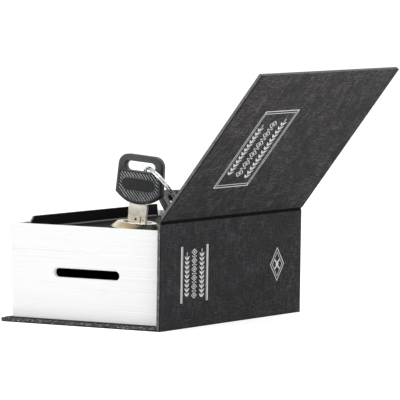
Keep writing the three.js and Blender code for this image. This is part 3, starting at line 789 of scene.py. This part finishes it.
for node, material, width, segments, edges in (
    ("cash_box", ENAMEL, 0.3, 3, ENAMEL_EDGE_WEAR_AND_HIGHLIGHT),
    ("catch", ENAMEL, 0.25, 2, ENAMEL_EDGE_WEAR_AND_HIGHLIGHT),
    ("hinge_leaf_box", ZINC, 0.12, 2, None),
    ("hinge_leaf_lid", ZINC, 0.12, 2, None),
    ("hinge_pin", ZINC, 0.2, 3, None),
    ("lock_nut", ZINC, 0.4, 2, None),
    ("lock_plug", PLUG, 0.15, 2, None),
    ("cam", ZINC, 0.25, 2, None),
    ("cam_washer", ZINC, 0.15, 2, None),
    ("cam_screw", ZINC, 0.2, 2, None),
    ("key_blade", NICKEL, 0.12, 2, None),
    ("spare_key_blade", NICKEL, 0.12, 2, None),
):
    refined(node, material, width, segments, edges)


def lid():
    """The lid, with a lighter finish along the top of its lip, partly wear and partly painted highlight, and a
    painted highlight line where the lip is folded up.
    """
    obj = refined("lid", ENAMEL, 0.28, 3, ENAMEL_EDGE_WEAR_AND_HIGHLIGHT)
    for face in obj.data.polygons:
        # The lip's top faces take the lighter edge enamel, partly as painted highlight.
        if face.normal.z > 0.3 and face.center.z > LIP_WEAR_AND_HIGHLIGHT_FROM * MM:
            face.material_index = 1
    # A thin strip of the lighter edge enamel along the fold is the fold's painted highlight.
    sunk, proud, hollow = -0.05, 0.02, 0.3 * FOLD
    profile = (
        (sunk, sunk), (FOLD, sunk), (FOLD, proud), (hollow, hollow), (proud, FOLD), (sunk, FOLD),
    )
    corners = [Vector((LIP_INNER_X + x, 0, LID_TOP + z)) for x, z in profile]
    bm = bmesh.new()
    bar(bm, corners, Vector((0, 1, 0)), -FOLD_END, FOLD_END)
    fold = link("lid_fold_painted_highlight", mesh_of("lid_fold_painted_highlight", bm), ENAMEL_EDGE_WEAR_AND_HIGHLIGHT)
    smooth(fold, 60)
    fold.matrix_world = scaled(SWING)
    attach(fold, "lid")


lid()

for stem, count, material in (
    ("box_rivet", 4, ZINC),
    ("box_leaf_rivet", 3, ZINC),
    ("lid_leaf_rivet", 3, ENAMEL),
):
    for n in range(1, count + 1):
        refined(f"{stem}_{n}", material, 0.35, 3)

for n in range(1, 5):
    dress(f"wafer_{n}", BRASS)


def lock_body():
    """The lock's head and its barrel, which has rings for a thread."""
    bore = PLUG_RADIUS + PLUG_PLAY
    chamfer, pitch, root, under_head = 0.5, 1.0, BODY_RADIUS - 0.4, -1.4
    profile = [
        (bore, BODY_FOOT), (BODY_RADIUS - chamfer, BODY_FOOT), (BODY_RADIUS, BODY_FOOT + chamfer),
    ]
    z = BODY_FOOT + chamfer
    while z < under_head:
        radii = (BODY_RADIUS, root, root, BODY_RADIUS)
        profile += [(radius, z + pitch * (k + 1) / 4) for k, radius in enumerate(radii)]
        z += pitch
    edge = SEAT + 0.4
    slope = Vector((HEAD_TOP_RADIUS - HEAD_RADIUS, HEAD_HEIGHT - edge)).normalized()
    profile += [
        (BODY_RADIUS, SEAT), (HEAD_RADIUS - 0.12, SEAT), (HEAD_RADIUS, SEAT + 0.1),
        (HEAD_RADIUS, SEAT + 0.25), (HEAD_RADIUS + slope.x * 0.18, edge + slope.y * 0.18),
        (HEAD_TOP_RADIUS - slope.x * 0.3, HEAD_HEIGHT - slope.y * 0.3),
        (HEAD_TOP_RADIUS - 0.1, HEAD_HEIGHT - 0.03), (HEAD_TOP_RADIUS - 0.4, HEAD_HEIGHT),
        (bore + 0.2, HEAD_HEIGHT), (bore, HEAD_HEIGHT - 0.2),
    ]
    obj = turned("lock_body_turned", profile, LOCK_METAL, LOCK_FRAME)
    obj.data.materials.append(LOCK_SLOPE_REFLECTION)
    # The head's sloping faces take the painted reflection and shade.
    for face in obj.data.polygons:
        sloping = 0.15 < face.normal.z < 0.95 and face.center.z > SEAT * MM
        face.material_index = 1 if sloping else 0
    stands_for(obj, "lock_body")


lock_body()


# The keys

FOOT_STEPS, SHOULDER_HOLLOW = 8, 1.6
FIELD_BORDER, FIELD_TOP, FIELD_DEPTH = 1.35, 13.0, 0.5
RIB_PITCH, RIB_WIDTH, RIB_RISE, RIBS_EACH_WAY = 1.05, 0.36, 0.42, 22
PANEL_X, PANEL_Z, PANEL_LENGTH, PANEL_HEIGHT = 0.0, 7.9, 17.2, 6.0
PANEL_RIM, PANEL_RISE = 0.25, RIB_RISE + 0.03
DOT_PITCH, DOT_SIZE, DOT_RISE = 1.3, 0.42, RIB_RISE + 0.12
PLASTIC_ROOT = 0.1


def bow_outline(inset=0.0):
    """The bow's outline in X and Z above its foot, drawn in by inset."""
    foot = []
    for k in range(FOOT_STEPS + 1):
        t = 2 * k / FOOT_STEPS - 1
        foot.append((BOW_FOOT * t, BOW_SAG * (2 * t ** 2 - 1)))
    swell = []
    for t in (0.25, 0.5, 0.75):
        x = BOW_FOOT + (BOW_HALF - BOW_FOOT) * t
        z = BOW_SAG + (BOW_SHOULDER - BOW_SAG) * t - SHOULDER_HOLLOW * t * (1 - t)
        swell.append((x, z))
    r = BOW_CORNER
    points = [
        *foot, *swell, (BOW_HALF, BOW_SHOULDER),
        *arc(BOW_TOP_HALF - r, BOW_HEIGHT - r, r, 0, 90),
        *arc(r - BOW_TOP_HALF, BOW_HEIGHT - r, r, 90, 180),
        (-BOW_HALF, BOW_SHOULDER), *((-x, z) for x, z in reversed(swell)),
    ]
    return drawn_in(points, inset) if inset else points


def drawn_in(points, inset):
    """A closed anticlockwise outline moved inwards by inset."""
    drawn = []
    count = len(points)
    for k in range(count):
        a, b, c = (Vector(points[(k + j) % count]) for j in (-1, 0, 1))
        if (b - a).length < 1e-6 or (c - b).length < 1e-6:
            continue
        inward = (b - a).orthogonal().normalized()
        middle = (inward + (c - b).orthogonal().normalized()).normalized()
        reach = inset / max(0.4, middle.dot(inward))
        drawn.append((b.x + middle.x * reach, b.y + middle.y * reach))
    return drawn


def clipped(polygon, fence):
    """The part of a polygon inside a convex fence, both as points of X and Z, anticlockwise."""
    for k in range(len(fence)):
        a, b = Vector(fence[k]), Vector(fence[(k + 1) % len(fence)])
        inward = (b - a).orthogonal()
        kept = []
        for i, point in enumerate(polygon):
            last = polygon[i - 1]
            here, there = ((Vector(p) - a).dot(inward) for p in (point, last))
            if here * there < 0:
                t = there / (there - here)
                kept.append(tuple(Vector(last).lerp(Vector(point), t)))
            if here >= 0:
                kept.append(point)
        polygon = kept
        if len(polygon) < 3:
            return []
    return polygon


def shrunk(points, by):
    """A convex outline drawn in a little on every side."""
    middle = Vector((sum(p[0] for p in points), sum(p[1] for p in points))) / len(points)
    reach = max((Vector(p) - middle).length for p in points)
    return [tuple(middle + (Vector(p) - middle) * (1 - by / reach)) for p in points]


def spaced(path, pitch):
    """Points at an even pitch round a closed path."""
    closed = [Vector(point) for point in (*path, path[0])]
    length = sum((b - a).length for a, b in zip(closed, closed[1:]))
    step = length / round(length / pitch)
    points, due = [], 0.0
    for a, b in zip(closed, closed[1:]):
        run = (b - a).length
        while due < run:
            points.append(tuple(a.lerp(b, due / run)))
            due += step
        due -= run
    return points


def laid(points, y=0.0):
    """Points of X and Z on an upright plane across Y."""
    return [Vector((x, y, z)) for x, z in points]


def bow_ribs(field):
    """Slanting ribs over the sunk field, as outlines that end at its edge."""
    span, middle_height = 40, 7
    across = Vector((1, 1)).normalized() * (RIB_WIDTH / 2)
    lengthwise = Vector((-1, 1)).normalized() * span
    fence = shrunk(field, 0.15)
    for k in range(-RIBS_EACH_WAY, RIBS_EACH_WAY + 1):
        centre = Vector((k * RIB_PITCH * math.sqrt(2), middle_height))
        rib = clipped([
            tuple(centre - across - lengthwise), tuple(centre + across - lengthwise),
            tuple(centre + across + lengthwise), tuple(centre - across + lengthwise),
        ], fence)
        if rib:
            yield rib


def key_bow(node, name, place):
    """A moulded bow. Each face has a sunk field of ribs round a bare panel with a dotted rim. The field's floor is
    painted shade, and the ribs and dots are painted highlight.
    """
    half = BOW_DEPTH / 2
    floor = half - FIELD_DEPTH
    hole = stadium(0, HOLE_Z, HOLE_LENGTH, HOLE_HEIGHT, 14)
    bm = prism(bow_outline(), -half, half, [hole[::-1]])
    obj = link(name, mesh_of(name, bm), BOW, BOW_GROOVE_SHADE, BOW_RIB_HIGHLIGHT, BOW_PANEL)
    wide, low = 20, -5
    limit = [(-wide, low), (wide, low), (wide, FIELD_TOP), (-wide, FIELD_TOP)]
    field = clipped(bow_outline(FIELD_BORDER), limit)
    tools = []
    for side in (-1, 1):
        ends = sorted((side * floor, side * (half + 1)))
        tools.append(link(name + "_tool", mesh_of(name + "_tool", prism(field, *ends))))
    carve(obj, *tools)
    bevel(obj, 0.45, 3, 40)
    apply_modifiers(obj)

    bm = bmesh.new()
    bm.from_mesh(obj.data)
    for face in bm.faces:
        middle = face.calc_center_median() / MM
        # The sunk field's floor takes the near-black plastic, as painted shade.
        if abs(abs(middle.y) - floor) < 0.02:
            face.material_index = 1
    panel = stadium(PANEL_X, PANEL_Z, PANEL_LENGTH, PANEL_HEIGHT, 6)
    rim = stadium(PANEL_X, PANEL_Z, PANEL_LENGTH - 2 * PANEL_RIM, PANEL_HEIGHT - 2 * PANEL_RIM, 6)
    for side in (-1, 1):
        normal = Vector((0, side, 0))
        # Ribs and rim dots take the light plastic, as painted highlight.
        for rib in bow_ribs(field):
            bar(bm, laid(rib), normal, floor - PLASTIC_ROOT, floor + RIB_RISE, 2)
        bar(bm, laid(panel), normal, floor - PLASTIC_ROOT, floor + PANEL_RISE, 3)
        for x, z in spaced(rim, DOT_PITCH):
            dot = disc(x, z, DOT_SIZE / 2, 6)
            bar(bm, laid(dot), normal, floor, floor + DOT_RISE, 2)
    bmesh.ops.recalc_face_normals(bm, faces=bm.faces)
    bm.to_mesh(obj.data)
    bm.free()
    smooth(obj, 32)
    obj.matrix_world = scaled(place @ Matrix.Translation((0, 0, BOW_FOOT_Z)))
    stands_for(obj, node)


STEP_LEFT, STEP_RIGHT, STEP_LOW, STEP_HIGH, STEP_RISE = -4.28, 1.4, 2.75, 5.2, 0.14
RIDGE_RIGHT, RIDGE_HIGH, RIDGE_RISE = 1.75, 6.0, 0.3
SHADE_LEFT, SHADE_RIGHT, SHADE_RISE = 1.78, 2.05, 0.015
LOW_RIDGE = (-3.6, -1.6, 3.1, 3.35)
DRILLED, SMALL_DRILLED = (-0.45, 4.1, 0.5), (3.1, 3.9, 0.28)
STEEL_ROOT, MARK_ROOT, MARK_RISE = 0.05, 0.02, 0.02


def rectangle(x0, x1, z0, z1):
    return [(x0, z0), (x1, z0), (x1, z1), (x0, z1)]


def shank_marks(name, node, place):
    """A step pressed at the foot of the shank, with a hole in it and a smaller one beside it. The holes are discs
    of painted shade, and a strip of painted shade lies beside the step's ridge.
    """
    normal = Vector((0, -1, 0))
    bm = bmesh.new()

    def mark(points, root, rise, finish=0):
        bar(bm, laid(points, -SHANK_DEPTH / 2), normal, -root, rise, finish)

    mark(rectangle(STEP_LEFT, STEP_RIGHT, STEP_LOW, STEP_HIGH), STEEL_ROOT, STEP_RISE)
    mark(rectangle(STEP_RIGHT, RIDGE_RIGHT, STEP_LOW, RIDGE_HIGH), STEEL_ROOT, RIDGE_RISE)
    mark(rectangle(*LOW_RIDGE), STEEL_ROOT, RIDGE_RISE)
    # A strip of painted shade beside the ridge, and the two holes as discs of painted shade.
    mark(rectangle(SHADE_LEFT, SHADE_RIGHT, STEP_LOW, STEP_HIGH), MARK_ROOT, SHADE_RISE, 1)
    mark(disc(*DRILLED, 12), MARK_ROOT, STEP_RISE + MARK_RISE, 1)
    mark(disc(*SMALL_DRILLED, 12), MARK_ROOT, MARK_RISE, 1)
    obj = link(name, mesh_of(name, bm), NICKEL, BOW_GROOVE_SHADE)
    bevel(obj, 0.04, 2)
    obj.matrix_world = scaled(place)
    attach(obj, body_of(node))


def spare_frame():
    """The spare key hangs on the ring by its bow, leaning to the fore-edge."""
    on_ring = RING_CENTRE + (
        RING_DOWN * math.cos(SPARE_ON_RING) + RING_FRONT * math.sin(SPARE_ON_RING)
    ) * RING_RADIUS
    to_top = Vector((-math.sin(SPARE_YAW), -math.cos(SPARE_YAW), math.tan(SPARE_PITCH))).normalized()
    level = Vector((math.cos(SPARE_YAW), -math.sin(SPARE_YAW), 0))
    width = Matrix.Rotation(SPARE_LEAN, 3, to_top) @ to_top.cross(level)
    turn = Matrix((width, to_top.cross(width), to_top)).transposed().to_4x4()
    hole = on_ring - width * WIRE_IN_SPARE_ACROSS - to_top * WIRE_IN_SPARE_ALONG
    return LOCK_FRAME @ Matrix.Translation(hole) @ turn @ Matrix.Translation((0, 0, -HOLE_CENTRE))


SPARE_FRAME = spare_frame()
key_bow("key_bow", "key_grip", LOCK_FRAME)
key_bow("spare_key_bow", "spare_key_grip", SPARE_FRAME)
shank_marks("key_shank_step", "key_blade", LOCK_FRAME)
shank_marks("spare_key_shank_step", "spare_key_blade", SPARE_FRAME)


def split_ring():
    """A wire wound about twice. Its turns lie a little closer together than the solid's."""
    axis = RING_DOWN.cross(RING_FRONT)
    steps, sides, pitch = 190, 12, 1.0
    end_size, end_reach = 0.6, 0.12
    bm = bmesh.new()
    rings = []

    def wire_ring(k, size=1.0, reach=0.0):
        t = k / steps
        turn = (t - 0.5) * RING_TURNS * 2 * math.pi
        out = RING_DOWN * math.cos(turn) + RING_FRONT * math.sin(turn)
        forward = RING_FRONT * math.cos(turn) - RING_DOWN * math.sin(turn)
        centre = RING_CENTRE + out * RING_RADIUS + axis * (t - 0.5) * RING_TURNS * pitch
        ring = []
        for j in range(sides):
            a = 2 * math.pi * j / sides
            rim = (out * math.cos(a) + axis * math.sin(a)) * WIRE_RADIUS * size
            ring.append(bm.verts.new((centre + forward * reach + rim) * MM))
        rings.append(ring)

    wire_ring(0, end_size, -end_reach)
    for k in range(steps + 1):
        wire_ring(k)
    wire_ring(steps, end_size, end_reach)
    skin(bm, rings)
    obj = link("split_ring_wound", mesh_of("split_ring_wound", bm), RING_STEEL)
    smooth(obj, 50)
    obj.matrix_world = scaled(LOCK_FRAME)
    stands_for(obj, "split_ring")


split_ring()


# The silver stamping on the cover and the spine: plain frames, bars and ornaments

FOIL_RISE, FOIL_ROOT = 0.045, -0.03


class Stamp:
    """Flat foil shapes on a plane, written in two lengths across it."""

    def __init__(self, name, body, origin, u, v, normal):
        self.name, self.body, self.origin, self.u, self.v = name, body, origin, u, v
        self.normal = normal
        self.bm = bmesh.new()

    def shape(self, *points):
        corners = [self.origin + self.u * a + self.v * b for a, b in points]
        bar(self.bm, corners, self.normal, FOIL_ROOT, FOIL_RISE)

    def line(self, a, b, width):
        a, b = Vector(a), Vector(b)
        side = (b - a).orthogonal().normalized() * (width / 2)
        self.shape(tuple(a - side), tuple(b - side), tuple(b + side), tuple(a + side))

    def stroke(self, points, widths):
        """A line through points that swells and thins by its widths."""
        sides = []
        for k, point in enumerate(points):
            before, after = points[max(k - 1, 0)], points[min(k + 1, len(points) - 1)]
            way = (Vector(after) - Vector(before)).normalized()
            out = way.orthogonal() * (widths[k] / 2)
            sides.append((tuple(Vector(point) - out), tuple(Vector(point) + out)))
        for (a, b), (c, d) in zip(sides, sides[1:]):
            self.shape(a, c, d, b)

    def frame(self, u0, u1, v0, v1, width):
        half = width / 2
        for v in (v0, v1):
            self.line((u0 - half, v), (u1 + half, v), width)
        for u in (u0, u1):
            self.line((u, v0 + half), (u, v1 - half), width)

    def tips(self, u, v, length, height):
        half, rise = length / 2, height / 2
        return [(u - half, v), (u, v - rise), (u + half, v), (u, v + rise)]

    def lozenge(self, u, v, length, height):
        self.shape(*self.tips(u, v, length, height))

    def open_lozenge(self, u, v, length, height, width):
        tips = self.tips(u, v, length, height)
        inner = self.tips(u, v, length - 2.2 * width, height - 2.2 * width)
        for k in range(4):
            after = (k + 1) % 4
            self.shape(tips[k], tips[after], inner[after], inner[k])

    def leaf(self, u, v, angle, length, width):
        """A pointed leaf that grows from (u, v) along angle."""
        way = Vector((math.cos(angle), math.sin(angle)))
        steps = 8
        shares = [k / steps for k in range(steps + 1)]
        points = [tuple(Vector((u, v)) + way * (length * t)) for t in shares]
        widths = [max(0.02, width * math.sin(math.pi * t ** 0.75)) for t in shares]
        self.stroke(points, widths)

    def laurel(self, u0, u1, v, height, pairs, width):
        """A straight stem with leaves in pairs that lean one way, and a bud at its tip."""
        self.line((u0, v), (u1 - height * 0.3, v), width)
        pitch = (u1 - u0 - height * 0.45) / pairs
        lean = math.radians(52)
        length = height * 0.5 / math.sin(lean)
        for k in range(pairs):
            at = u0 + pitch * (k + 0.15)
            for side in (-1, 1):
                self.leaf(at, v + side * width * 0.4, side * lean, length, min(1.0, pitch * 0.46))
        self.leaf(u1 - height * 0.45, v, 0, height * 0.45, height * 0.16)

    def chain(self, u0, u1, v, height, count, width):
        """Open lozenges with a solid heart, and a small one between each two."""
        pitch = (u1 - u0) / count
        for k in range(count):
            at = u0 + (k + 0.5) * pitch
            self.open_lozenge(at, v, pitch * 0.78, height, width)
            self.lozenge(at, v, pitch * 0.26, height * 0.36)
            if k:
                for side in (-1, 1):
                    self.lozenge(at - pitch / 2, v + side * height * 0.27, pitch * 0.2, height * 0.26)
                self.lozenge(at - pitch / 2, v, pitch * 0.14, height * 0.16)

    def finish(self):
        obj = link(self.name, mesh_of(self.name, self.bm), FOIL)
        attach(obj, self.body)


def cover_stamping():
    """A double frame with mitre lines. In it lie a chain of lozenges and a laurel on each side."""
    stamp = Stamp("cover_stamping", "cover", HINGE, ALONG, Vector((0, 1, 0)), OUTWARD)
    outer = (16.9, 57.1, -34.5, -6.4)
    inner = (18.1, 55.9, -33.2, -7.7)
    bold, thin = 0.42, 0.3
    stamp.frame(*outer, bold)
    stamp.frame(*inner, thin)
    for k in (0, 1):
        for m in (2, 3):
            stamp.line((outer[k], outer[m]), (inner[k], inner[m]), thin)
    stamp.laurel(23.5, 50.5, -29.2, height=4.3, pairs=12, width=0.4)
    stamp.chain(21.5, 52.5, -20.7, height=6.0, count=6, width=0.5)
    stamp.laurel(21.0, 53.0, -12.7, height=4.5, pairs=14, width=0.4)
    stamp.finish()


def spine_stamping():
    """Two double rules with a chain and two laurels between them, and a lozenge near the far end."""
    foot = Vector((SPINE_X, 0, 0))
    stamp = Stamp("spine_stamping", "book", foot, UPRIGHT, Vector((0, 1, 0)), SPINE_OUTWARD)
    low, high = 10.5, 33.8
    bold, thin, apart = 0.9, 0.3, 0.95
    for y, side in ((-42.1, 1), (-20.8, -1)):
        stamp.line((low, y), (high, y), bold)
        stamp.line((low, y + side * apart), (high, y + side * apart), thin)
    stamp.laurel(13.0, 31.5, -37.6, height=3.6, pairs=9, width=0.34)
    stamp.chain(11.5, 33.0, -31.7, height=4.6, count=6, width=0.42)
    stamp.laurel(12.0, 32.5, -25.5, height=3.8, pairs=10, width=0.34)
    z, y = 21.85, 38.2
    stamp.open_lozenge(z, y, 14.4, 12.0, 0.5)
    stamp.open_lozenge(z, y, 10.6, 8.6, 0.34)
    stamp.lozenge(z, y, 3.0, 2.4)
    leaf_root, leaf_length, leaf_width = 1.1, 2.1, 0.9
    for k in range(4):
        angle = math.pi / 4 + k * math.pi / 2
        root = z + leaf_root * math.cos(angle), y + leaf_root * math.sin(angle)
        stamp.leaf(*root, angle, leaf_length, leaf_width)
    stamp.finish()


cover_stamping()
spine_stamping()


# The studio

FLOOR_REACH = 40
LIGHTS_AIM = Vector((0, 0, 0.04))


def seen_directly(tree):
    """One for camera, glossy and transmission rays, and nought for all others."""
    paths = tree.nodes.new("ShaderNodeLightPath")
    seen = paths.outputs["Is Camera Ray"]
    for ray in ("Is Glossy Ray", "Is Transmission Ray"):
        either = tree.nodes.new("ShaderNodeMath")
        either.operation = "MAXIMUM"
        tree.links.new(seen, either.inputs[0])
        tree.links.new(paths.outputs[ray], either.inputs[1])
        seen = either.outputs[0]
    return seen


def coloured(tree, kind, shade):
    """A shader node of one grey."""
    node = tree.nodes.new("ShaderNode" + kind)
    node.inputs["Color"].default_value = (shade, shade, shade, 1)
    return node


def studio_floor():
    """A pale floor that looks white and keeps the object's shadow."""
    reach = FLOOR_REACH
    bm = bmesh.new()
    corners = ((-reach, -reach), (reach, -reach), (reach, reach), (-reach, reach))
    bm.faces.new([bm.verts.new((x, y, 0)) for x, y in corners])
    material = bpy.data.materials.new("studio_floor")
    material.use_nodes = True
    tree = material.node_tree
    tree.nodes.clear()
    both = tree.nodes.new("ShaderNodeAddShader")
    tree.links.new(coloured(tree, "BsdfDiffuse", 0.6).outputs[0], both.inputs[0])
    tree.links.new(coloured(tree, "Emission", 0.8).outputs[0], both.inputs[1])
    choose = tree.nodes.new("ShaderNodeMixShader")
    tree.links.new(seen_directly(tree), choose.inputs[0])
    tree.links.new(coloured(tree, "BsdfDiffuse", 0.88).outputs[0], choose.inputs[1])
    tree.links.new(both.outputs[0], choose.inputs[2])
    output = tree.nodes.new("ShaderNodeOutputMaterial")
    tree.links.new(choose.outputs[0], output.inputs["Surface"])
    link("studio_floor", mesh_of("studio_floor", bm), material)


def studio_sky():
    """A white background that lights the object less than it shows."""
    world = bpy.data.worlds.new("studio")
    bpy.context.scene.world = world
    world.use_nodes = True
    tree = world.node_tree
    tree.nodes.clear()
    strength = tree.nodes.new("ShaderNodeMapRange")
    strength.inputs["To Min"].default_value = 0.45
    strength.inputs["To Max"].default_value = 1.0
    tree.links.new(seen_directly(tree), strength.inputs["Value"])
    background = coloured(tree, "Background", 1)
    tree.links.new(strength.outputs[0], background.inputs["Strength"])
    output = tree.nodes.new("ShaderNodeOutputWorld")
    tree.links.new(background.outputs[0], output.inputs["Surface"])


def lamp(name, place, size, power):
    """A square soft light at a place in metres that faces the object."""
    data = bpy.data.lights.new(name, "AREA")
    data.shape = "SQUARE"
    data.size = size
    data.energy = power
    obj = bpy.data.objects.new(name, data)
    bpy.context.scene.collection.objects.link(obj)
    turn = (LIGHTS_AIM - Vector(place)).to_track_quat("-Z", "Y").to_matrix().to_4x4()
    obj.matrix_world = Matrix.Translation(place) @ turn


bpy.context.scene.view_settings.view_transform = "Standard"
studio_floor()
studio_sky()
lamp("key_light", (-0.7, -1.3, 1.2), size=0.9, power=17)
lamp("fill_light", (1.5, -0.6, 0.55), size=0.9, power=6)
lamp("top_light", (0.2, 0.5, 1.6), size=1.0, power=8)
